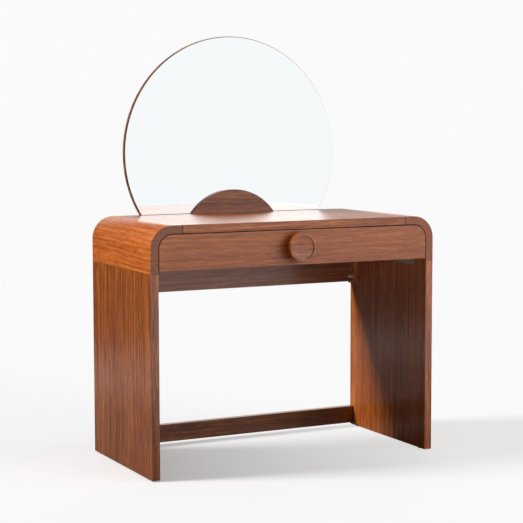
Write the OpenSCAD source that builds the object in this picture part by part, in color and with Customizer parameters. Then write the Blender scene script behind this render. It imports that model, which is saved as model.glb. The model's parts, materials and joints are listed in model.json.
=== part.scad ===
// Vanity table with a round mirror: a board case with rounded upper corners,
// one full-width drawer on telescopic slides, and a mirror that stands on the rear edge.
// Millimetres, +Z up, +X to the right, -Y to the front; origin under the middle on the floor.

/* [Case] */
// Overall width of the case
case_w = 980; // [860:10:1100]
// Depth of the case, front edge to rear edge
case_d = 480; // [460:10:560]
// Height of the table top above the floor
case_h = 762; // [740:1:780]
// Thickness of the legs, corners and top
board_t = 25; // [22:1:28]
// Outer radius of the rounded upper corners
corner_r = 70; // [60:1:80]
// Straight length of a corner block below its bend
corner_post = 72; // [60:1:80]
// Straight length of a corner block beside its bend
corner_arm = 34; // [30:1:60]
// Thickness of the glides under the legs
glide_h = 3; // [2:0.5:5]

/* [Rear boards] */
// Thickness of the back rail and the foot stretcher
rail_t = 22; // [18:1:25]
// Height of the back rail's lower edge
rail_low_z = 509; // [480:1:540]
// Height of the stretcher's lower edge
stretcher_low_z = 11; // [8:1:40]
// Depth of the stretcher's face, bottom to top
stretcher_face = 58; // [50:1:80]
// Thickness of the rear cleats
cleat_t = 11; // [10:0.5:12]
// Width of the rear cleats
cleat_w = 44; // [40:1:50]

/* [Drawer] */
// Gap around the drawer front
drawer_gap = 3; // [2:0.5:3.5]
// Height of the drawer front's lower edge
front_low_z = 627; // [620:1:632]
// Thickness of the drawer front
front_t = 18; // [16:1:20]
// Length of the drawer box behind its front
box_d = 382; // [360:1:390]
// Thickness of the drawer's sides and back
side_t = 12; // [12:1:14]
// Height of the drawer's sides
side_h = 98; // [90:1:98]
// Thickness of the drawer's bottom
bottom_t = 6; // [4:1:6]
// How far the drawer opens
drawer_travel = 300; // [200:10:300]

/* [Knob] */
// Radius of the knob's disc
knob_r = 46.5; // [30:0.5:50]
// Thickness of the knob's disc
knob_t = 17; // [14:1:20]
// Reach of the knob in front of the drawer
knob_reach = 38; // [34:1:45]
// Width of the raised rim around the knob's face
knob_rim = 10; // [6:0.5:14]
// Height of the knob's centre
knob_z = 682; // [675:1:688]

/* [Slides] */
// Length of each slide
slide_l = 300; // [300:10:320]
// Height of the slide's case member
slide_h = 45; // [45:1:46]
// Height of the slide's lower edge
slide_low_z = 602; // [600:1:604]
// Distance from the case's front edge to the slide
slide_setback = 75; // [60:1:90]
// Thickness of the whole slide, leg to drawer side
slide_t = 13; // [13:0.1:13.5]
// Sheet thickness of the slide's members
sheet_t = 1.2; // [1:0.1:1.2]
// Radius of the slide's balls
ball_r = 1.2; // [1.1:0.05:1.2]

/* [Mirror] */
// Diameter of the round mirror
mirror_d = 766; // [600:2:780]
// Height of the mirror above the table top
mirror_h = 581; // [480:1:640]
// Thickness of the backing board
backer_t = 10; // [10:1:15]
// Thickness of the glass
glass_t = 4.5; // [3:0.5:6]
// Width of the half-moon foot in front of the mirror
foot_w = 300; // [240:5:360]
// Height of the half-moon foot
foot_h = 77; // [60:1:100]
// Thickness of the half-moon foot
foot_t = 12; // [10:0.5:20]
// Distance of each steel strap from the middle
strap_x = 150; // [120:5:200]
// Width of the steel straps
strap_w = 30; // [24:1:40]
// Thickness of the steel straps
strap_t = 3; // [2:0.5:4]

/* [Hidden] */
$fn = 64;

// Colours
walnut = "#8a5a3c";
dark_walnut = "#5b3a28";
pale_wood = "burlywood";
silvered = "#dfe9ee";
zinc = "#b9bcc0";
steel = "#8d9094";
black_steel = "#2b2b2d";

// Radial clearance of a peg or screw in its hole
peg_fit = 0.05;
// Extra length that lets a cutter pass through a face
through = 1;

// Places that follow from the case
pan_head_h = 2;
rear_reach = strap_t + pan_head_h;
front = knob_reach - (knob_reach + case_d + rear_reach) / 2;
rear = front + case_d;
half_w = case_w / 2;
inside_x = half_w - board_t;
inside_top = case_h - board_t;
bend_x = half_w - corner_r;
bend_z = case_h - corner_r;
seam_x = bend_x - corner_arm;
seam_z = bend_z - corner_post;
leg_mid_x = half_w - board_t / 2;
top_mid_z = case_h - board_t / 2;
rail_front = rear - rail_t;
rail_mid_y = rear - rail_t / 2;
cleat_face_x = inside_x - cleat_t;

// Screws: shank radius, head radius, and length below a pan head or over all when countersunk
cleat_screw = [2, 4, 26];
bracket_to_rail_screw = [1.5, 3, 13];
bracket_to_cleat_screw = [1.5, 3, 10];
strap_screw = [2, 4, strap_t + 9];
slide_to_case_screw = [1.75, 3.5, 15];
slide_to_drawer_screw = [1.75, 3.5, sheet_t + 10];
drawer_back_screw = [2, 4, 35];
drawer_bottom_screw = [1.5, 3, 22];
knob_fixing = [2, 4.5, front_t + 14];
recess_deep = 1.1;

// Pegs of the case
dowel_r = 4;
dowel_half = 15;
seam_dowel_ys = [front + case_d / 8, front + case_d / 2, rear - case_d / 8];
rail_dowel_xs = [-300, -100, 100, 300];
rail_dowel_up = 12;
stretcher_dowel_z = stretcher_low_z + 17;

// Knock-down fittings of the stretcher, and the gap between any cam and its bolt's end
cam_gap = 0.1;
stretcher_cam_r = 7.5;
stretcher_cam_deep = 12.5;
stretcher_cam_x = inside_x - 34;
stretcher_cam_z = stretcher_low_z + 37;
cam_bolt_r = 3;
cam_bolt_bite = 11;

// Cleats and the angle brackets that tie the back rail to them
cleat_front = rear - 2 - cleat_w;
cleat_low_z = rail_low_z - 6;
cleat_top_z = bend_z - 2;
cleat_screw_y = cleat_front + 11;
cleat_screw_zs = [544, 600, 670];
bracket_leg = 12;
bracket_hole_in = 7.5;
bracket_h = 8;
bracket_sheet = 1.2;
bracket_zs = [rail_low_z + 12, 636];

// Glides
glide_r = 10;
glide_pin_r = 3;
glide_pin_l = 15;
glide_inset = 40;

// Mirror
mirror_r = mirror_d / 2;
mirror_z = case_h + mirror_h - mirror_r;
glass_edge_inset = 2.5;
glass_lift = 0.8;
glass_front = rear - backer_t - glass_t;
foot_r = (foot_w * foot_w / 4 + foot_h * foot_h) / (2 * foot_h);
mirror_peg_r = 3;
mirror_peg_down = 12;
mirror_peg_up = 14;
backer_peg_xs = [-260, -60, 60, 260];
foot_peg_xs = [-90, 90];
strap_low_z = 556;
strap_top_z = 1000;
strap_screw_zs = [580, 640, 700, 800, 890, 980];

// Slide: distances inward from the leg's face and half heights about the slide's middle
slide_z = slide_low_z + slide_h / 2;
slide_front = front + slide_setback;
race_gap = 2 * ball_r + 0.6;
cage_sheet = 0.5;
case_member_lip = 9.8;
outer_cage_web = 1.8;
outer_cage_lip = 8.8;
outer_ball_in = 6;
middle_half = slide_h / 2 - sheet_t - race_gap;
middle_web = 2.9;
middle_lip = 10.6;
inner_cage_web = 4.7;
inner_cage_lip = 9.6;
inner_ball_in = 8;
drawer_half = middle_half - sheet_t - race_gap;
drawer_member_lip = 5.9;
cage_l = slide_l / 2 - 6;
balls_per_row = 10;
slide_screw_row = 9;
case_slide_screw_ys = [slide_front + 35, slide_front + 125, slide_front + 265];
drawer_slide_screw_ys = [slide_front + 20, slide_front + 150, slide_front + 280];

// Drawer box
box_x = inside_x - slide_t;
box_in_x = box_x - side_t;
box_front = front + front_t;
box_rear = box_front + box_d;
side_low_z = slide_z - 8.5;
side_top_z = side_low_z + side_h;
bottom_z = side_low_z + 16;
groove_deep = 6;
groove_slack = 0.1;
drawer_back_top_z = side_top_z - 10;
notch_clear = 4;
notch_rise = 1.5;
drawer_cam_r = 6;
drawer_cam_deep = 9;
drawer_cam_y = box_front + 24;
drawer_cam_zs = [side_low_z + 40, side_low_z + 80];
drawer_bolt_r = 2.5;
drawer_bolt_bite = 10;
back_screw_zs = [side_low_z + 40, side_low_z + 74];
bottom_screw_xs = [-300, 0, 300];

// Knob
knob_neck_r = 14;
knob_cove_r = 7;
knob_edge_r = 2.5;
knob_recess = 3.5;
knob_dish = 1.5;

// ---- Shapes used by several parts ----

// A box between two opposite corners
module block(low, high) {
    translate(low) cube(high - low);
}

// A round rod that starts at a point and runs along +X, +Y or +Z
module rod_x(start, r, length) {
    translate(start) rotate([0, 90, 0]) cylinder(r = r, h = length);
}

module rod_y(start, r, length) {
    translate(start) rotate([-90, 0, 0]) cylinder(r = r, h = length);
}

module rod_z(start, r, length) {
    translate(start) cylinder(r = r, h = length);
}

// Extrudes a front-view outline from y to y + length
module along_y(y, length) {
    translate([0, y + length, 0]) rotate([90, 0, 0]) linear_extrude(length) children();
}

// Mirrors a right-hand shape to the left when side is -1
module on_side(side) {
    if (side > 0) {
        children();
    } else {
        mirror([1, 0, 0]) children();
    }
}

// Front-view outline of the case's arch, set in from the outside by inset
module arch_outline(inset) {
    r = corner_r - inset;
    translate([inset - half_w, -through]) square([case_w - 2 * inset, bend_z + through]);
    translate([-bend_x, -through]) square([2 * bend_x, case_h - inset + through]);
    for (side = [-1, 1]) {
        translate([side * bend_x, bend_z]) circle(r);
    }
}

// Screws along +Z: a pan head stands on z = 0, and a countersunk head lies flush at z = 0
module pan_screw(size, grow = 0) {
    difference() {
        union() {
            translate([0, 0, -pan_head_h]) cylinder(r = size[1] + grow, h = pan_head_h);
            cylinder(r = size[0] + grow, h = size[2]);
        }
        if (grow == 0) {
            cross_recess(-pan_head_h, size[1]);
        }
    }
}

module flush_screw(size, grow = 0) {
    difference() {
        union() {
            cylinder(r1 = size[1] + grow, r2 = size[0] + grow, h = size[1] - size[0]);
            cylinder(r = size[0] + grow, h = size[2]);
        }
        if (grow == 0) {
            cross_recess(0, size[1]);
        }
    }
}

// A cross for a screwdriver, cut down from z
module cross_recess(z, head_r) {
    slot_l = head_r * 1.1;
    slot_w = head_r * 0.22;
    for (turn = [0, 90]) {
        rotate([0, 0, turn]) translate([-slot_l / 2, -slot_w / 2, z - through])
            cube([slot_l, slot_w, recess_deep + through]);
    }
}

// ---- Fastener sets: grow widens them into their own holes ----

module case_dowel_set(grow = 0) {
    for (side = [-1, 1]) {
        for (y = seam_dowel_ys) {
            rod_z([side * leg_mid_x, y, seam_z - dowel_half], dowel_r + grow, 2 * dowel_half);
            rod_x([side * seam_x - dowel_half, y, top_mid_z], dowel_r + grow, 2 * dowel_half);
        }
        rod_x([side * inside_x - dowel_half, rail_mid_y, stretcher_dowel_z],
              dowel_r + grow, 2 * dowel_half);
    }
    for (x = rail_dowel_xs) {
        rod_z([x, rail_mid_y, inside_top - dowel_half], dowel_r + grow, dowel_half + rail_dowel_up);
    }
}

module cleat_screw_set(grow = 0) {
    for (side = [-1, 1]) {
        on_side(side) for (z = cleat_screw_zs) {
            translate([cleat_face_x, cleat_screw_y, z]) rotate([0, 90, 0]) flush_screw(cleat_screw, grow);
        }
    }
}

module bracket_screw_set(grow = 0) {
    for (side = [-1, 1]) {
        on_side(side) for (z = bracket_zs) {
            translate([cleat_face_x - bracket_hole_in, rail_front - bracket_sheet, z + bracket_h / 2])
                rotate([-90, 0, 0]) pan_screw(bracket_to_rail_screw, grow);
            translate([cleat_face_x - bracket_sheet, rail_front - bracket_hole_in, z + bracket_h / 2])
                rotate([0, 90, 0]) pan_screw(bracket_to_cleat_screw, grow);
        }
    }
}

module stretcher_cam_set(grow = 0) {
    for (side = [-1, 1]) {
        rod_y([side * stretcher_cam_x, rear - stretcher_cam_deep, stretcher_cam_z],
              stretcher_cam_r + grow, stretcher_cam_deep);
    }
}

module stretcher_bolt_set(grow = 0) {
    start = stretcher_cam_x + stretcher_cam_r + cam_gap;
    bolt_l = inside_x + cam_bolt_bite - start;
    for (side = [-1, 1]) {
        on_side(side) rod_x([start, rail_mid_y, stretcher_cam_z], cam_bolt_r + grow, bolt_l);
    }
}

module glide_set(grow = 0) {
    for (x = [-leg_mid_x, leg_mid_x]) {
        for (y = [front + glide_inset, rear - glide_inset]) {
            if (grow == 0) {
                rod_z([x, y, 0], glide_r, glide_h);
            }
            rod_z([x, y, glide_h - grow], glide_pin_r + grow, glide_pin_l + 2 * grow);
        }
    }
}

module mirror_peg_set(grow = 0) {
    pegs = concat([for (x = backer_peg_xs) [x, rear - backer_t / 2]],
                  [for (x = foot_peg_xs) [x, glass_front - foot_t / 2]]);
    for (peg = pegs) {
        rod_z([peg[0], peg[1], case_h - mirror_peg_down],
              mirror_peg_r + grow, mirror_peg_down + mirror_peg_up);
    }
}

module strap_screw_set(grow = 0) {
    for (x = [-strap_x, strap_x]) {
        for (z = strap_screw_zs) {
            translate([x, rear + strap_t, z]) rotate([90, 0, 0]) pan_screw(strap_screw, grow);
        }
    }
}

module case_slide_screw_set(grow = 0) {
    for (side = [-1, 1]) {
        on_side(side) for (y = case_slide_screw_ys) {
            for (row = [-slide_screw_row, slide_screw_row]) {
                translate([inside_x - sheet_t, y, slide_z + row])
                    rotate([0, 90, 0]) flush_screw(slide_to_case_screw, grow);
            }
        }
    }
}

module drawer_slide_screw_set(grow = 0) {
    for (side = [-1, 1]) {
        on_side(side) for (y = drawer_slide_screw_ys) {
            translate([box_x + sheet_t, y, slide_z])
                rotate([0, -90, 0]) pan_screw(slide_to_drawer_screw, grow);
        }
    }
}

module drawer_cam_set(grow = 0) {
    for (side = [-1, 1]) {
        on_side(side) for (z = drawer_cam_zs) {
            rod_x([box_in_x, drawer_cam_y, z], drawer_cam_r + grow, drawer_cam_deep);
        }
    }
}

module drawer_bolt_set(grow = 0) {
    start = box_front - drawer_bolt_bite;
    bolt_l = drawer_cam_y - drawer_cam_r - cam_gap - start;
    for (side = [-1, 1]) {
        on_side(side) for (z = drawer_cam_zs) {
            rod_y([box_in_x + side_t / 2, start, z], drawer_bolt_r + grow, bolt_l);
        }
    }
}

module back_screw_set(grow = 0) {
    for (side = [-1, 1]) {
        on_side(side) for (z = back_screw_zs) {
            translate([box_x, box_rear - side_t / 2, z])
                rotate([0, -90, 0]) flush_screw(drawer_back_screw, grow);
        }
    }
}

module bottom_screw_set(grow = 0) {
    for (x = bottom_screw_xs) {
        translate([x, box_rear - side_t / 2, bottom_z]) flush_screw(drawer_bottom_screw, grow);
    }
}

module knob_screw_shape(grow = 0) {
    translate([0, box_front, knob_z]) rotate([90, 0, 0]) pan_screw(knob_fixing, grow);
}

// ---- Case ----

module leg(side) {
    color(walnut) difference() {
        on_side(side) block([inside_x, front, glide_h], [half_w, rear, seam_z]);
        case_dowel_set(peg_fit);
        cleat_screw_set(peg_fit);
        stretcher_bolt_set(peg_fit);
        glide_set(peg_fit);
        case_slide_screw_set(peg_fit);
    }
}

module left_leg() {
    leg(-1);
}

module right_leg() {
    leg(1);
}

// Solid block bent from leg to top, with a short straight stretch at each end
module corner(side) {
    color(walnut) difference() {
        on_side(side) along_y(front, case_d) intersection() {
            difference() {
                arch_outline(0);
                arch_outline(board_t);
            }
            translate([seam_x, seam_z]) square([half_w - seam_x, case_h - seam_z]);
        }
        case_dowel_set(peg_fit);
        case_slide_screw_set(peg_fit);
        cleat_screw_set(peg_fit);
    }
}

module left_corner() {
    corner(-1);
}

module right_corner() {
    corner(1);
}

module top_panel() {
    color(walnut) difference() {
        block([-seam_x, front, inside_top], [seam_x, rear, case_h]);
        case_dowel_set(peg_fit);
        mirror_peg_set(peg_fit);
    }
}

module back_rail() {
    color(dark_walnut) difference() {
        along_y(rail_front, rail_t) intersection() {
            arch_outline(board_t);
            translate([-cleat_face_x, rail_low_z]) square([2 * cleat_face_x, case_h - rail_low_z]);
        }
        case_dowel_set(peg_fit);
        bracket_screw_set(peg_fit);
        strap_screw_set(peg_fit);
    }
}

module foot_stretcher() {
    color(dark_walnut) difference() {
        block([-inside_x, rail_front, stretcher_low_z],
              [inside_x, rear, stretcher_low_z + stretcher_face]);
        case_dowel_set(peg_fit);
        stretcher_cam_set(peg_fit);
        stretcher_bolt_set(peg_fit);
    }
}

module cleat(side) {
    color(dark_walnut) difference() {
        on_side(side) block([cleat_face_x, cleat_front, cleat_low_z],
                            [inside_x, cleat_front + cleat_w, cleat_top_z]);
        cleat_screw_set(peg_fit);
        bracket_screw_set(peg_fit);
    }
}

module left_cleat() {
    cleat(-1);
}

module right_cleat() {
    cleat(1);
}

module case_dowels() {
    color(pale_wood) case_dowel_set();
}

module cleat_screws() {
    color(black_steel) cleat_screw_set();
}

// Small angle brackets in the corner between the back rail and each cleat
module rail_brackets() {
    color(zinc) difference() {
        for (side = [-1, 1]) {
            on_side(side) for (z = bracket_zs) {
                for (arm = [[bracket_leg, bracket_sheet], [bracket_sheet, bracket_leg]]) {
                    block([cleat_face_x - arm[0], rail_front - arm[1], z],
                          [cleat_face_x, rail_front, z + bracket_h]);
                }
            }
        }
        bracket_screw_set(peg_fit);
    }
}

module rail_bracket_screws() {
    color(zinc) bracket_screw_set();
}

module stretcher_cams() {
    color(zinc) difference() {
        stretcher_cam_set();
        for (side = [-1, 1]) {
            translate([side * stretcher_cam_x, rear, stretcher_cam_z])
                rotate([90, 0, 0]) cross_recess(0, stretcher_cam_r);
        }
    }
}

module stretcher_cam_bolts() {
    color(steel) stretcher_bolt_set();
}

module floor_glides() {
    color(black_steel) glide_set();
}

// ---- Mirror ----

module round_above_top(r, centre_z, y, thickness, lift = 0) {
    along_y(y, thickness) intersection() {
        translate([0, centre_z]) circle(r, $fn = 180);
        translate([-r, case_h + lift]) square([2 * r, 2 * r]);
    }
}

module mirror_backer() {
    color(walnut) difference() {
        round_above_top(mirror_r, mirror_z, rear - backer_t, backer_t);
        mirror_peg_set(peg_fit);
        strap_screw_set(peg_fit);
    }
}

module mirror_glass() {
    color(silvered)
        round_above_top(mirror_r - glass_edge_inset, mirror_z, glass_front, glass_t, glass_lift);
}

module mirror_foot() {
    color(walnut) difference() {
        round_above_top(foot_r, case_h + foot_h - foot_r, glass_front - foot_t, foot_t);
        mirror_peg_set(peg_fit);
    }
}

module mirror_dowels() {
    color(pale_wood) mirror_peg_set();
}

module strap(side) {
    color(black_steel) difference() {
        along_y(rear, strap_t) {
            translate([side * strap_x - strap_w / 2, strap_low_z + strap_w / 2])
                square([strap_w, strap_top_z - strap_low_z - strap_w]);
            for (z = [strap_low_z + strap_w / 2, strap_top_z - strap_w / 2]) {
                translate([side * strap_x, z]) circle(strap_w / 2);
            }
        }
        strap_screw_set(peg_fit);
    }
}

module left_strap() {
    strap(-1);
}

module right_strap() {
    strap(1);
}

module strap_screws() {
    color(zinc) strap_screw_set();
}

// ---- Slides: in and lip are distances inward from the leg's face ----

// A sheet channel: a web at in and two flanges of half height half_h that reach to lip
module channel(in, lip, half_h, sheet, y, length) {
    web_to = lip > in ? in + sheet : in - sheet;
    block([inside_x - max(in, web_to), y, slide_z - half_h],
          [inside_x - min(in, web_to), y + length, slide_z + half_h]);
    for (z = [slide_z - half_h, slide_z + half_h - sheet]) {
        block([inside_x - max(in, lip), y, z], [inside_x - min(in, lip), y + length, z + sheet]);
    }
}

module case_member(side) {
    color(zinc) difference() {
        on_side(side) channel(0, case_member_lip, slide_h / 2, sheet_t, slide_front, slide_l);
        case_slide_screw_set(peg_fit);
    }
}

module middle_member(side) {
    color(zinc) on_side(side) channel(middle_web, middle_lip, middle_half, sheet_t, slide_front, slide_l);
}

module drawer_member(side) {
    color(zinc) difference() {
        on_side(side) channel(slide_t, drawer_member_lip, drawer_half, sheet_t, slide_front, slide_l);
        drawer_slide_screw_set(peg_fit);
    }
}

// A ball cage: a thin channel with a row of balls in each race, half_race from the slide's middle
module ball_cage(side, web, lip, ball_in, half_race) {
    start = slide_front + slide_l / 2 - cage_l / 2;
    pitch = cage_l / balls_per_row;
    color(steel) on_side(side) {
        channel(web, lip, half_race + cage_sheet / 2, cage_sheet, start, cage_l);
        for (i = [0:balls_per_row - 1]) {
            for (z = [slide_z - half_race, slide_z + half_race]) {
                translate([inside_x - ball_in, start + (i + 0.5) * pitch, z]) sphere(ball_r, $fn = 24);
            }
        }
    }
}

module outer_cage(side) {
    ball_cage(side, outer_cage_web, outer_cage_lip, outer_ball_in, slide_h / 2 - sheet_t - race_gap / 2);
}

module inner_cage(side) {
    ball_cage(side, inner_cage_web, inner_cage_lip, inner_ball_in, middle_half - sheet_t - race_gap / 2);
}

module left_slide_case_member() {
    case_member(-1);
}

module right_slide_case_member() {
    case_member(1);
}

module case_slide_screws() {
    color(steel) case_slide_screw_set();
}

module left_slide_middle_member() {
    middle_member(-1);
}

module right_slide_middle_member() {
    middle_member(1);
}

module left_slide_outer_cage() {
    outer_cage(-1);
}

module right_slide_outer_cage() {
    outer_cage(1);
}

module left_slide_inner_cage() {
    inner_cage(-1);
}

module right_slide_inner_cage() {
    inner_cage(1);
}

module left_slide_drawer_member() {
    drawer_member(-1);
}

module right_slide_drawer_member() {
    drawer_member(1);
}

module drawer_slide_screws() {
    color(steel) drawer_slide_screw_set();
}

// ---- Drawer ----

// The groove that the drawer's bottom slides into
module bottom_groove() {
    x = box_in_x + groove_deep;
    block([-x, box_front - groove_deep, bottom_z - groove_slack],
          [x, box_rear + through, bottom_z + bottom_t + groove_slack]);
}

module drawer_front() {
    color(walnut) difference() {
        along_y(front, front_t) intersection() {
            arch_outline(board_t + drawer_gap);
            translate([-inside_x, front_low_z]) square([2 * inside_x, case_h - front_low_z]);
        }
        bottom_groove();
        drawer_bolt_set(peg_fit);
        knob_screw_shape(peg_fit);
    }
}

// Cuts the side's lower front corner away, ahead of the slide, so that the front hides it
module side_front_notch() {
    block([box_in_x - through, box_front - through, side_low_z - through],
          [box_x + through, slide_front - notch_clear, front_low_z + notch_rise]);
}

module drawer_side(side) {
    color(pale_wood) difference() {
        on_side(side) block([box_in_x, box_front, side_low_z], [box_x, box_rear, side_top_z]);
        on_side(side) side_front_notch();
        bottom_groove();
        drawer_cam_set(peg_fit);
        drawer_bolt_set(peg_fit);
        back_screw_set(peg_fit);
        drawer_slide_screw_set(peg_fit);
    }
}

module drawer_left_side() {
    drawer_side(-1);
}

module drawer_right_side() {
    drawer_side(1);
}

module drawer_back() {
    color(pale_wood) difference() {
        block([-box_in_x, box_rear - side_t, bottom_z + bottom_t],
              [box_in_x, box_rear, drawer_back_top_z]);
        back_screw_set(peg_fit);
        bottom_screw_set(peg_fit);
    }
}

module drawer_bottom() {
    slack = 0.3;
    x = box_in_x + groove_deep - slack;
    color(pale_wood) difference() {
        block([-x, box_front - groove_deep + slack, bottom_z], [x, box_rear, bottom_z + bottom_t]);
        bottom_screw_set(peg_fit);
    }
}

module drawer_cams() {
    color(zinc) difference() {
        drawer_cam_set();
        for (side = [-1, 1]) {
            on_side(side) for (z = drawer_cam_zs) {
                translate([box_in_x, drawer_cam_y, z]) rotate([0, 90, 0]) cross_recess(0, drawer_cam_r);
            }
        }
    }
}

module drawer_cam_bolts() {
    color(steel) drawer_bolt_set();
}

module drawer_back_screws() {
    color(zinc) back_screw_set();
}

module drawer_bottom_screws() {
    color(zinc) bottom_screw_set();
}

// ---- Knob ----

// Half section of the turned knob: radius along X, distance from the drawer along Y
module knob_section() {
    back = knob_reach - knob_t;
    edge = knob_r - knob_edge_r;
    dish_w = knob_r - knob_rim;
    dish_r = (dish_w * dish_w + knob_dish * knob_dish) / (2 * knob_dish);
    floor_y = knob_reach - knob_recess;
    difference() {
        union() {
            square([knob_neck_r, knob_reach]);
            difference() {
                translate([0, back - knob_cove_r]) square([knob_neck_r + knob_cove_r, knob_cove_r]);
                translate([knob_neck_r + knob_cove_r, back - knob_cove_r]) circle(knob_cove_r);
            }
            translate([0, back]) square([edge, knob_t]);
            translate([0, back + knob_edge_r]) square([knob_r, knob_t - 2 * knob_edge_r]);
            for (y = [back + knob_edge_r, knob_reach - knob_edge_r]) {
                translate([edge, y]) circle(knob_edge_r);
            }
        }
        translate([0, floor_y]) square([dish_w, knob_recess + through]);
        intersection() {
            translate([0, floor_y + dish_r - knob_dish]) circle(dish_r, $fn = 720);
            translate([0, floor_y - 2 * knob_dish]) square([dish_w, 3 * knob_dish]);
        }
    }
}

module knob() {
    color(walnut) difference() {
        translate([0, front, knob_z]) rotate([90, 0, 0]) rotate_extrude($fn = 96) knob_section();
        knob_screw_shape(peg_fit);
    }
}

module knob_screw() {
    color(zinc) knob_screw_shape();
}

left_leg();
right_leg();
left_corner();
right_corner();
top_panel();
back_rail();
foot_stretcher();
left_cleat();
right_cleat();
case_dowels();
cleat_screws();
rail_brackets();
rail_bracket_screws();
stretcher_cams();
stretcher_cam_bolts();
floor_glides();
mirror_backer();
mirror_glass();
mirror_foot();
mirror_dowels();
left_strap();
right_strap();
strap_screws();
left_slide_case_member();
right_slide_case_member();
case_slide_screws();
left_slide_middle_member();
right_slide_middle_member();
left_slide_outer_cage();
right_slide_outer_cage();
left_slide_inner_cage();
right_slide_inner_cage();
left_slide_drawer_member();
right_slide_drawer_member();
drawer_slide_screws();
drawer_front();
drawer_left_side();
drawer_right_side();
drawer_back();
drawer_bottom();
drawer_cams();
drawer_cam_bolts();
drawer_back_screws();
drawer_bottom_screws();
knob();
knob_screw();
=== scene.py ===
"""Looks of the vanity table with a round mirror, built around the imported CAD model.

Every shown piece is a CAD node. This script gives each one a procedural material, eases the edges
of the boards and the glass, and adds the floor, the studio light and the camera.
"""

import json
import math
import random

import bpy
from mathutils import Matrix, Vector


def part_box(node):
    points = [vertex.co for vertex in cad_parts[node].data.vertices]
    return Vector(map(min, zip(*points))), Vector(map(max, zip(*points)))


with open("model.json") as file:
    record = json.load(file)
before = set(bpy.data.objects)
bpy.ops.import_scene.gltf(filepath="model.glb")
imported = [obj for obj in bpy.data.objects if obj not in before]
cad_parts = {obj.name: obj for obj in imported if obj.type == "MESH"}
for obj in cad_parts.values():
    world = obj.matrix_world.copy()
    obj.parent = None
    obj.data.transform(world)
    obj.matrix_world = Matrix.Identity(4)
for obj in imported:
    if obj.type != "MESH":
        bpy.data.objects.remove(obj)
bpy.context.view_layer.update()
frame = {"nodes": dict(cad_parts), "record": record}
nodes = frame["nodes"]

MM = 0.001
# The levels that a noise texture mostly keeps between
USUAL_NOISE = (0.3, 0.7)
CASE_BOARDS = ("left_leg", "right_leg", "left_corner", "right_corner", "top_panel")

# ---- Camera: where the photographer stood ----

CAMERA_AT = Vector((-2.218, -4.363, 1.083))
CAMERA_YAW = math.radians(26.81)
CAMERA_PITCH = math.radians(5.43)
CAMERA_ROLL = math.radians(-0.13)
LENS_MM = 105.7
SENSOR_MM = 36.0
FAR_CLIP = 500.0

# ---- Studio ----

# Brightness of the backdrop and of a fully lifted shadow, as the camera sees them
BACKDROP = 0.956
# Brightness of the room that lights the table, away from its glows
DIM_LIGHT = 0.04
# Each glow's direction, brightness at its middle, and the cosines where it begins and where it is full
GLOWS = (
    ((0.72, -0.69, 0.04), 2.6, 0.77, 0.98),    # front right
    ((0.30, -0.95, -0.05), 1.0, 0.75, 0.97),   # front
    ((0.52, 0.85, 0.10), 0.92, 0.80, 0.97),    # behind, on the right
    ((-0.15, -0.10, 1.00), 0.42, 0.45, 0.95),  # overhead
)
KEY_TRAVEL = Vector((1.32, -0.405, -1.0)).normalized()
KEY_STRENGTH = 3.4
KEY_ANGLE = math.radians(16)

FLOOR_HALF = 60.0
FLOOR_SHADE = 0.925
# How far the floor's shade is lifted to the backdrop's brightness: from x, to x, share there and there
SHADOW_LIFT = (-0.50, 0.50, 0.22, 0.72)
# Share of light that the floor throws back on the table, by distance from the middle in metres
BOUNCE_RINGS = ((1.1, 0.16), (1.9, 0.40), (3.1, 0.02))
# The same in front of the table, where it is more: y where it is full, y where it fades out, share
FRONT_BOUNCE = (-2.0, -0.3, 0.80)
# Ray depth behind one sharp reflection
SURFACE_IN_MIRROR = 1
WORLD_IN_MIRROR = 2


# ---- Node helpers ----

def feed(tree, socket, source):
    """Links another node's output to a socket, or sets the socket to a plain value."""
    if isinstance(source, bpy.types.NodeSocket):
        tree.links.new(source, socket)
    else:
        socket.default_value = source


def add_node(tree, kind, inputs=(), **settings):
    """Adds a node, sets its properties, and feeds the inputs given as (name or index, source) pairs."""
    node = tree.nodes.new("ShaderNode" + kind)
    for name, value in settings.items():
        setattr(node, name, value)
    for key, source in inputs:
        feed(tree, node.inputs[key], source)
    return node


def math_node(tree, operation, a, b=0.0, c=0.0):
    return add_node(tree, "Math", [(0, a), (1, b), (2, c)], operation=operation).outputs[0]


def vector_node(tree, operation, a, b=(0, 0, 0), output=0):
    return add_node(tree, "VectorMath", [(0, a), (1, b)], operation=operation).outputs[output]


def component(tree, vector, axis):
    """The X, Y or Z of a vector."""
    return add_node(tree, "SeparateXYZ", [(0, vector)]).outputs[axis]


def object_place(tree):
    return add_node(tree, "TexCoord").outputs["Object"]


def facing(tree, axis):
    """0 to 1: how squarely the surface faces along an axis, one way or the other."""
    normal = add_node(tree, "NewGeometry").outputs["Normal"]
    return math_node(tree, "ABSOLUTE", component(tree, normal, axis))


def remap(tree, value, low, high, to_low, to_high, smooth=False):
    inputs = [(0, value), (1, low), (2, high), (3, to_low), (4, to_high)]
    kind = "SMOOTHSTEP" if smooth else "LINEAR"
    return add_node(tree, "MapRange", inputs, interpolation_type=kind).outputs[0]


def noise(tree, where, size, detail=3.0, roughness=0.55, output="Fac"):
    """Noise whose blotches measure size = (x, y, z) metres."""
    scaled = vector_node(tree, "DIVIDE", where, size)
    inputs = [("Vector", scaled), ("Scale", 1.0), ("Detail", detail), ("Roughness", roughness)]
    return add_node(tree, "TexNoise", inputs).outputs[output]


def ramp(tree, value, stops):
    """A colour ramp with stops given as (position, colour)."""
    node = add_node(tree, "ValToRGB", [(0, value)])
    elements = node.color_ramp.elements
    while len(elements) < len(stops):
        elements.new(0.5)
    for element, (position, colour) in zip(elements, stops):
        element.position = position
        element.color = (*colour, 1.0)
    return node.outputs[0]


def grey(tree, value):
    """The same number as red, green and blue."""
    return add_node(tree, "CombineColor", [(0, value), (1, value), (2, value)]).outputs[0]


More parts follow.
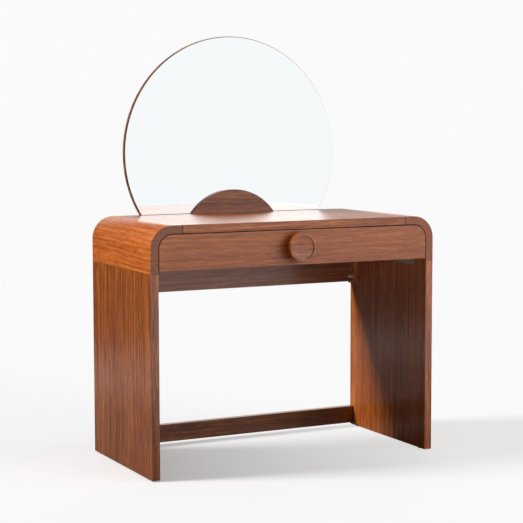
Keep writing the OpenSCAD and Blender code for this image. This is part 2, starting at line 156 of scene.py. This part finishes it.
def mix_colour(tree, factor, a, b, blend="MIX"):
    """Mixes colours: the Mix node's sockets 6, 7 and output 2 are its colour ones."""
    node = add_node(tree, "Mix", data_type="RGBA", blend_type=blend)
    feed(tree, node.inputs[0], factor)
    for socket, source in ((node.inputs[6], a), (node.inputs[7], b)):
        feed(tree, socket, (*source, 1.0) if isinstance(source, tuple) else source)
    return node.outputs[2]


def mix_value(tree, factor, a, b):
    """Mixes numbers: the Mix node's sockets 2, 3 and output 0 are its number ones."""
    return add_node(tree, "Mix", [(0, factor), (2, a), (3, b)]).outputs[0]


def bump(tree, height, strength, distance):
    inputs = [("Height", height), ("Strength", strength), ("Distance", distance)]
    return add_node(tree, "Bump", inputs).outputs[0]


def new_material(name):
    """An empty material with one Principled shader; returns its tree and that shader."""
    material = bpy.data.materials.new(name)
    material.use_nodes = True
    tree = material.node_tree
    tree.nodes.clear()
    shader = add_node(tree, "BsdfPrincipled")
    output = add_node(tree, "OutputMaterial")
    tree.links.new(shader.outputs[0], output.inputs[0])
    return material, tree, shader


def shade(tree, shader, **inputs):
    """Feeds the Principled shader; a name's underscores stand for spaces."""
    for name, source in inputs.items():
        feed(tree, shader.inputs[name.replace("_", " ")], source)


# ---- Wood ----

# Blotches in metres along and across the grain, and how much each layer tells
BANDS = (((0.90, 0.060, 0.060), 0.6), ((0.80, 0.016, 0.016), 0.4))
STREAKS = (((0.30, 0.0070, 0.0070), 0.9), ((0.07, 0.0055, 0.0055), 0.7), ((0.035, 0.0030, 0.0030), 0.9))
RING_SHARE = 0.16
RING_SCALE = 22.0
# Half the reach of tone, about its middle, that the colour stops cover
TONE_SPREAD = 0.45

# The log: how far a board's figure may be moved in it, where its middle lies beside the board, and
# over what size and how far its grain sways
LOG_REACH = 3.0
PITH_ASIDE = (0.25, 0.45)
PITH_BELOW = (0.04, 0.10)
SWAY_SIZE = (0.50, 0.14, 0.14)
SWAY_REACH = (0.0, 0.030, 0.030)
TURN_TO_GRAIN = {"X": (0, 0, 0), "Y": (0, 0, -math.pi / 2), "Z": (0, math.pi / 2, 0)}

# Pores: blotch size, the noise levels where one begins and is full, its shade and its depth
PORE_SIZE = (0.012, 0.0006, 0.0006)
PORE_LEVELS = (0.60, 0.70)
PORE_SHADE = 0.72
PORE_DEPTH = -0.8

# How squarely a face must cut across the grain to begin to count, and to fully count, as end grain
END_FACE = (0.6, 0.9)
# Height at which the painted shade towards the floor ends, and a board has its full brightness again
PAINTED_SHADE_TOP = 0.62
SATIN_ROUGHNESS = (0.42, 0.34)
LACQUER_ROUGHNESS = 0.14
WOOD_BUMP = (0.18, 0.2 * MM)

# Glue lines: distances from the joint where the line is full and where it ends, and the shade of a
# full one. Those at the legs are fainter than those at the top panel.
SEAM_LINE = (1.2 * MM, 2.4 * MM)
SEAM_SHADE = 0.05
TOP_SEAM_SHARE = 1.0
LEG_SEAM_SHARE = 0.6
# How squarely a face must look forwards or back to begin to show them, and to show them fully
SEAM_FACE = (0.7, 0.8)
# The top panel's glue lines reach this far below its underside
SEAM_BELOW_TOP = 10 * MM

WALNUT_STOPS = [(0.10, (0.150, 0.030, 0.005)), (0.40, (0.300, 0.067, 0.010)),
                (0.60, (0.410, 0.104, 0.016)), (0.90, (0.590, 0.190, 0.036))]
PALE_STOPS = [(0.10, (0.50, 0.31, 0.15)), (0.50, (0.66, 0.45, 0.25)), (0.90, (0.76, 0.56, 0.34))]

# Each board's grain direction, and where it differs from the wood's plain look. Some of these differences
# are painted light and shade, as marked below.
WALNUT_BOARDS = {
    # Painted shade: the left leg darkens towards the floor, standing in for the light falling off there
    "left_leg": dict(grain="Z", painted_floor_shade=0.68),
    # Painted light: the right leg is lighter, to lift its shaded inner face
    "right_leg": dict(grain="Z", bright=1.20, calm=1.3),
    # Painted light: both corners are lighter, standing in for the light that falls on their bends from
    # above
    "left_corner": dict(grain="Y", bright=1.54, coat=0.15, end_grain_and_shade=0.41, broad=0.4, calm=1.7),
    "right_corner": dict(grain="Y", bright=1.54, coat=0.15, end_grain_and_shade=0.58, broad=0.4, calm=1.7),
    "top_panel": dict(grain="X", coat=0.10),
    "drawer_front": dict(grain="X", bright=1.10, coat=0.25, calm=1.6),
    # The knob's darker end grain is partly real and partly painted shade on its side wall
    "knob": dict(grain="X", coat=0.3, end_grain_and_shade=0.5, calm=1.3),
    "mirror_foot": dict(grain="X", bright=0.70, coat=0.15),
    "mirror_backer": dict(grain="Z"),
}
RAIL_BOARDS = {
    "back_rail": dict(grain="X", bright=0.85, calm=1.4),
    "foot_stretcher": dict(grain="X", bright=0.55),
    # Painted light: the cleats are lighter, standing in for the light and reflection that fall on them
    "left_cleat": dict(grain="Z", bright=1.6),
    "right_cleat": dict(grain="Z", bright=1.6),
}
PALE_BOARDS = {
    "drawer_left_side": dict(grain="Y"),
    "drawer_right_side": dict(grain="Y"),
    "drawer_back": dict(grain="X"),
    "drawer_bottom": dict(grain="X"),
    "case_dowels": dict(grain="X"),
    "mirror_dowels": dict(grain="Z"),
}
# Name, first seed, colours, what its boards have in common, and the boards
WOODS = (
    ("walnut_", 11, WALNUT_STOPS, dict(end_grain_and_shade=0.9), WALNUT_BOARDS),
    ("dark_walnut_", 41, WALNUT_STOPS, {}, RAIL_BOARDS),
    ("pale_", 71, PALE_STOPS, dict(coat=0.3), PALE_BOARDS),
)


def grain_coordinates(tree, grain, offset):
    """Object coordinates turned so that X runs along the grain, moved to a place of the log."""
    inputs = [("Vector", object_place(tree)), ("Location", offset), ("Rotation", TURN_TO_GRAIN[grain])]
    return add_node(tree, "Mapping", inputs, vector_type="POINT").outputs[0]


def growth_rings(tree, wavy, offset, pith):
    """Rings about the log's middle, which lies at pith in the board's turned coordinates."""
    to_pith = tuple(-value - centre for value, centre in zip(offset, pith))
    inputs = [("Vector", vector_node(tree, "ADD", wavy, to_pith)), ("Scale", RING_SCALE),
              ("Distortion", 2.5), ("Detail", 2.0), ("Detail Scale", 0.30), ("Detail Roughness", 0.5)]
    return add_node(tree, "TexWave", inputs, wave_type="RINGS", rings_direction="X",
                    wave_profile="SIN").outputs["Fac"]


def seam_line(tree, coordinate, place, share):
    """The share where a coordinate is within a glue line of a place, and 0 away from it."""
    distance = math_node(tree, "ABSOLUTE", math_node(tree, "SUBTRACT", coordinate, place))
    return remap(tree, distance, *SEAM_LINE, share, 0.0)


def seam_lines(tree):
    """Above 0 on the glue lines between leg, corner and top, on the case's front and rear faces."""
    place = object_place(tree)
    sideways = math_node(tree, "ABSOLUTE", component(tree, place, "X"))
    height = component(tree, place, "Z")
    at_top_panel = math_node(tree, "GREATER_THAN", height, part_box("top_panel")[0].z - SEAM_BELOW_TOP)
    top_seam = seam_line(tree, sideways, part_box("top_panel")[1].x, TOP_SEAM_SHARE)
    top_seam = math_node(tree, "MULTIPLY", top_seam, at_top_panel)
    leg_seam = seam_line(tree, height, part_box("left_leg")[1].z, LEG_SEAM_SHARE)
    either = math_node(tree, "MAXIMUM", top_seam, leg_seam)
    return math_node(tree, "MULTIPLY", either, remap(tree, facing(tree, "Y"), *SEAM_FACE, 0.0, 1.0))


def wood(name, stops, seed, grain, bright=1.0, coat=0.7, end_grain_and_shade=0.75, painted_floor_shade=1.0, broad=1.0,
         calm=1.0, seams=False):
    """Veneered wood: bands, growth rings, streaks, flecks and pores under a satin lacquer.

    bright, end_grain_and_shade and painted_floor_shade scale the colour: everywhere, on faces that cut
    across the grain, and at the floor. On some boards the first is painted light, the second darkens real
    end grain and also paints shade, and the third is painted shade towards the floor. broad scales
    the bands, and calm above 1 evens out the tone.
    """
    material, tree, shader = new_material(name)
    rng = random.Random(seed)
    offset = tuple(rng.uniform(-LOG_REACH, LOG_REACH) for _ in range(3))
    pith = (0.0, rng.uniform(*PITH_ASIDE), rng.uniform(*PITH_BELOW))

    place = grain_coordinates(tree, grain, offset)
    sway = noise(tree, place, SWAY_SIZE, detail=1.0, output="Color")
    sway = vector_node(tree, "SUBTRACT", sway, (0.5, 0.5, 0.5))
    wavy = vector_node(tree, "ADD", place, vector_node(tree, "MULTIPLY", sway, SWAY_REACH))

    layers = [(growth_rings(tree, wavy, offset, pith), RING_SHARE)]
    for size, share in BANDS:
        layers.append((noise(tree, wavy, size, detail=2.0, roughness=0.6), share * broad))
    narrow_bands = layers[-1][0]
    for size, share in STREAKS:
        layers.append((noise(tree, wavy, size, detail=2.0, roughness=0.6), share))
    flecks = layers[-1][0]
    tone = 0.0
    for layer, share in layers:
        tone = math_node(tree, "MULTIPLY_ADD", layer, share, tone)
    middle = sum(share for layer, share in layers) / 2
    spread = TONE_SPREAD * calm
    colour = ramp(tree, remap(tree, tone, middle - spread, middle + spread, 0.0, 1.0), stops)

    pores = remap(tree, noise(tree, wavy, PORE_SIZE, detail=1.0), *PORE_LEVELS, 0.0, 1.0)
    level = remap(tree, pores, 0.0, 1.0, bright, PORE_SHADE * bright)
    # Darker end grain; on the knob this is also painted shade
    across_grain = remap(tree, facing(tree, grain), *END_FACE, 1.0, end_grain_and_shade)
    level = math_node(tree, "MULTIPLY", level, across_grain)
    # Painted shade: boards that have it darken towards the floor
    height_above_floor = component(tree, object_place(tree), "Z")
    level = math_node(tree, "MULTIPLY", level,
                      remap(tree, height_above_floor, 0.0, PAINTED_SHADE_TOP, painted_floor_shade, 1.0))
    if seams:
        level = math_node(tree, "MULTIPLY", level, remap(tree, seam_lines(tree), 0.0, 1.0, 1.0, SEAM_SHADE))
    colour = mix_colour(tree, 1.0, colour, grey(tree, level), blend="MULTIPLY")

    relief = math_node(tree, "MULTIPLY_ADD", pores, PORE_DEPTH, flecks)
    shade(tree, shader, Base_Color=colour,
          Roughness=remap(tree, narrow_bands, *USUAL_NOISE, *SATIN_ROUGHNESS),
          Normal=bump(tree, relief, *WOOD_BUMP))
    shade(tree, shader, IOR=1.5, Coat_Weight=coat, Coat_Roughness=LACQUER_ROUGHNESS, Coat_IOR=1.5)
    return material


# ---- Glass, metal and plastic ----

MIRROR_TINTS = [(0.3, (0.960, 0.987, 0.998)), (0.7, (0.968, 0.992, 1.000))]
# How squarely the glass must look forwards to begin to be mirror, and to be nothing but mirror
MIRROR_FACE = (0.86, 0.97)
GLASS_EDGE = (0.05, 0.065, 0.06)
GLASS_EDGE_ROUGHNESS = 0.15
ZINC = ((0.64, 0.64, 0.63), (0.80, 0.80, 0.79))
BRIGHT_STEEL = ((0.60, 0.61, 0.62), (0.72, 0.73, 0.74))
# Below 1, because plating is a little hazy
PLATING_METALLIC = 0.7
BLACK_STOPS = [(0.35, (0.012, 0.012, 0.013)), (0.70, (0.030, 0.030, 0.031))]


def silvered_glass():
    """A clear mirror on its face, and dark greenish glass on its edge and arris."""
    material, tree, shader = new_material("silvered_glass")
    edge = remap(tree, facing(tree, "Y"), *MIRROR_FACE, 1.0, 0.0)
    tint = ramp(tree, noise(tree, object_place(tree), (0.4, 0.4, 0.4)), MIRROR_TINTS)
    shade(tree, shader, Base_Color=mix_colour(tree, edge, tint, GLASS_EDGE),
          Metallic=remap(tree, edge, 0.0, 1.0, 1.0, 0.0),
          Roughness=remap(tree, edge, 0.0, 1.0, 0.0, GLASS_EDGE_ROUGHNESS))
    return material


def plated_steel(name, dark, light, roughness):
    """Zinc or chrome plating: cloudy crystals and fine drawing lines."""
    material, tree, shader = new_material(name)
    place = object_place(tree)
    clouds = noise(tree, place, (0.006, 0.006, 0.006), detail=4.0)
    lines = noise(tree, place, (0.0003, 0.030, 0.0003), detail=2.0)
    shade(tree, shader, Base_Color=ramp(tree, clouds, [(0.35, dark), (0.65, light)]),
          Roughness=remap(tree, lines, *USUAL_NOISE, roughness - 0.06, roughness + 0.08),
          Normal=bump(tree, lines, 0.12, 0.05 * MM))
    shade(tree, shader, Metallic=PLATING_METALLIC)
    return material


def coated_black(name, roughness, grain_mm):
    """Black powder coat or moulded plastic, with a fine pebbled skin."""
    material, tree, shader = new_material(name)
    place = object_place(tree)
    pebbles = noise(tree, place, (grain_mm * MM,) * 3, detail=2.0)
    wear = noise(tree, place, (0.04, 0.04, 0.04), detail=4.0)
    shade(tree, shader, Base_Color=ramp(tree, wear, BLACK_STOPS),
          Roughness=remap(tree, pebbles, *USUAL_NOISE, roughness - 0.05, roughness + 0.08),
          Normal=bump(tree, pebbles, 0.3, 0.1 * MM))
    return material


def finish_nodes():
    """Gives every CAD node its material; each wooden one has its own stretch of grain."""
    wooden = {}
    for prefix, first_seed, stops, common, boards in WOODS:
        for seed, (node, own) in enumerate(boards.items(), first_seed):
            look = {**common, **own}
            wooden[node] = wood(prefix + node, stops, seed, seams=node in CASE_BOARDS, **look)
    by_slot = {
        "mirror": silvered_glass(),
        "zinc_steel": plated_steel("zinc_plate", *ZINC, roughness=0.32),
        "bright_steel": plated_steel("bright_steel", *BRIGHT_STEEL, roughness=0.22),
        "black_steel": coated_black("black_steel", roughness=0.42, grain_mm=0.6),
        "black_plastic": coated_black("black_plastic", roughness=0.55, grain_mm=0.9),
    }
    for row in frame["record"]["subparts"]:
        material = wooden.get(row["node"]) or by_slot[row["material_slot"]]
        for slot in nodes[row["node"]].material_slots:
            slot.material = material


# ---- Eased edges ----

EASED_MM = {**dict.fromkeys(CASE_BOARDS, 1.0), "drawer_front": 1.0, "drawer_left_side": 1.0,
            "drawer_right_side": 1.0, "drawer_back": 1.0, "foot_stretcher": 1.0, "back_rail": 0.8,
            "left_cleat": 0.6, "right_cleat": 0.6, "mirror_backer": 0.8, "mirror_foot": 1.2,
            "mirror_glass": 1.6}
WELD_MM = 0.01
ARRIS_SEGMENTS = 3
SHARP_ANGLE = math.radians(40)


def ease_edges():
    """Rounds the sharp edges of the boards and the glass a little, as sanding and grinding do."""
    for node, width_mm in EASED_MM.items():
        weld = nodes[node].modifiers.new("weld", "WELD")
        weld.merge_threshold = WELD_MM * MM
        bevel = nodes[node].modifiers.new("eased_edges", "BEVEL")
        bevel.width = width_mm * MM
        bevel.segments = ARRIS_SEGMENTS
        bevel.limit_method = "ANGLE"
        bevel.angle_limit = SHARP_ANGLE
        bevel.harden_normals = True


# ---- Floor, light and camera ----

def seen_directly(tree, depth_in_mirror):
    """1 for what the camera sees, straight or in the mirror, and 0 for what lights the table."""
    path = add_node(tree, "LightPath")
    first_bounce = math_node(tree, "LESS_THAN", path.outputs["Ray Depth"], depth_in_mirror + 0.5)
    in_mirror = math_node(tree, "MULTIPLY", path.outputs["Is Singular Ray"], first_bounce)
    return math_node(tree, "MAXIMUM", path.outputs["Is Camera Ray"], in_mirror)


def build_world():
    """A plain pale backdrop to look at; what lights the table is a dim room with soft glows."""
    world = bpy.data.worlds.new("studio")
    bpy.context.scene.world = world
    world.use_nodes = True
    tree = world.node_tree
    tree.nodes.clear()
    towards = add_node(tree, "TexCoord").outputs["Generated"]
    level = DIM_LIGHT
    for direction, brightness, begins, full in GLOWS:
        cosine = vector_node(tree, "DOT_PRODUCT", towards, Vector(direction).normalized(), output="Value")
        glow = remap(tree, cosine, begins, full, 0.0, brightness, smooth=True)
        level = math_node(tree, "ADD", glow, level)
    level = mix_value(tree, seen_directly(tree, WORLD_IN_MIRROR), level, BACKDROP)
    background = add_node(tree, "Background", [(0, grey(tree, level)), (1, 1.0)])
    output = add_node(tree, "OutputWorld")
    tree.links.new(background.outputs[0], output.inputs[0])


def shown_floor(tree, place):
    """The floor as the camera sees it: matt, with its shadows lightened, as on a lit white sweep."""
    matt = add_node(tree, "BsdfDiffuse", [(0, grey(tree, FLOOR_SHADE))])
    glow = add_node(tree, "Emission", [(0, (1, 1, 1, 1)), (1, BACKDROP)])
    lift = remap(tree, component(tree, place, "X"), *SHADOW_LIFT)
    return add_node(tree, "MixShader", [(0, lift), (1, matt.outputs[0]), (2, glow.outputs[0])]).outputs[0]


def bounce_floor(tree, place):
    """The floor as the table sees it: it throws back little close by and far off, and most in front."""
    distance = vector_node(tree, "LENGTH", place, output="Value")
    bounce = BOUNCE_RINGS[0][1]
    for (inner, near), (outer, far) in zip(BOUNCE_RINGS, BOUNCE_RINGS[1:]):
        step = remap(tree, distance, inner, outer, 0.0, far - near, smooth=True)
        bounce = math_node(tree, "ADD", step, bounce)
    full_y, begin_y, front_share = FRONT_BOUNCE
    front = remap(tree, component(tree, place, "Y"), full_y, begin_y, front_share, 0.0, smooth=True)
    bounce = math_node(tree, "MAXIMUM", bounce, front)
    return add_node(tree, "BsdfDiffuse", [(0, grey(tree, bounce))]).outputs[0]


def build_floor():
    """One wide pale floor, which joins the backdrop without a visible horizon."""
    half = FLOOR_HALF
    corners = [(-half, -half, 0), (half, -half, 0), (half, half, 0), (-half, half, 0)]
    mesh = bpy.data.meshes.new("floor")
    mesh.from_pydata(corners, [], [(0, 1, 2, 3)])
    floor = bpy.data.objects.new("floor", mesh)
    bpy.context.scene.collection.objects.link(floor)
    material = bpy.data.materials.new("floor_paper")
    material.use_nodes = True
    tree = material.node_tree
    tree.nodes.clear()
    place = object_place(tree)
    choice = add_node(tree, "MixShader", [(0, seen_directly(tree, SURFACE_IN_MIRROR)),
                                          (1, bounce_floor(tree, place)), (2, shown_floor(tree, place))])
    output = add_node(tree, "OutputMaterial")
    tree.links.new(choice.outputs[0], output.inputs[0])
    mesh.materials.append(material)


def build_key_light():
    """A soft key light from high on the left, a little behind."""
    data = bpy.data.lights.new("key", "SUN")
    data.energy = KEY_STRENGTH
    data.angle = KEY_ANGLE
    key = bpy.data.objects.new("key", data)
    key.rotation_euler = KEY_TRAVEL.to_track_quat("-Z", "Y").to_euler()
    bpy.context.scene.collection.objects.link(key)


def build_camera():
    """The camera at the photograph's viewpoint, turned by yaw, pitch and roll."""
    data = bpy.data.cameras.new("camera")
    data.sensor_width = SENSOR_MM
    data.lens = LENS_MM
    data.clip_end = FAR_CLIP
    camera = bpy.data.objects.new("camera", data)
    camera.matrix_world = (Matrix.Translation(CAMERA_AT) @ Matrix.Rotation(-CAMERA_YAW, 4, "Z")
                           @ Matrix.Rotation(math.pi / 2 - CAMERA_PITCH, 4, "X")
                           @ Matrix.Rotation(CAMERA_ROLL, 4, "Z"))
    bpy.context.scene.collection.objects.link(camera)
    bpy.context.scene.camera = camera


build_camera()
build_world()
build_floor()
build_key_light()
finish_nodes()
ease_edges()
bpy.context.scene.view_settings.view_transform = "Standard"
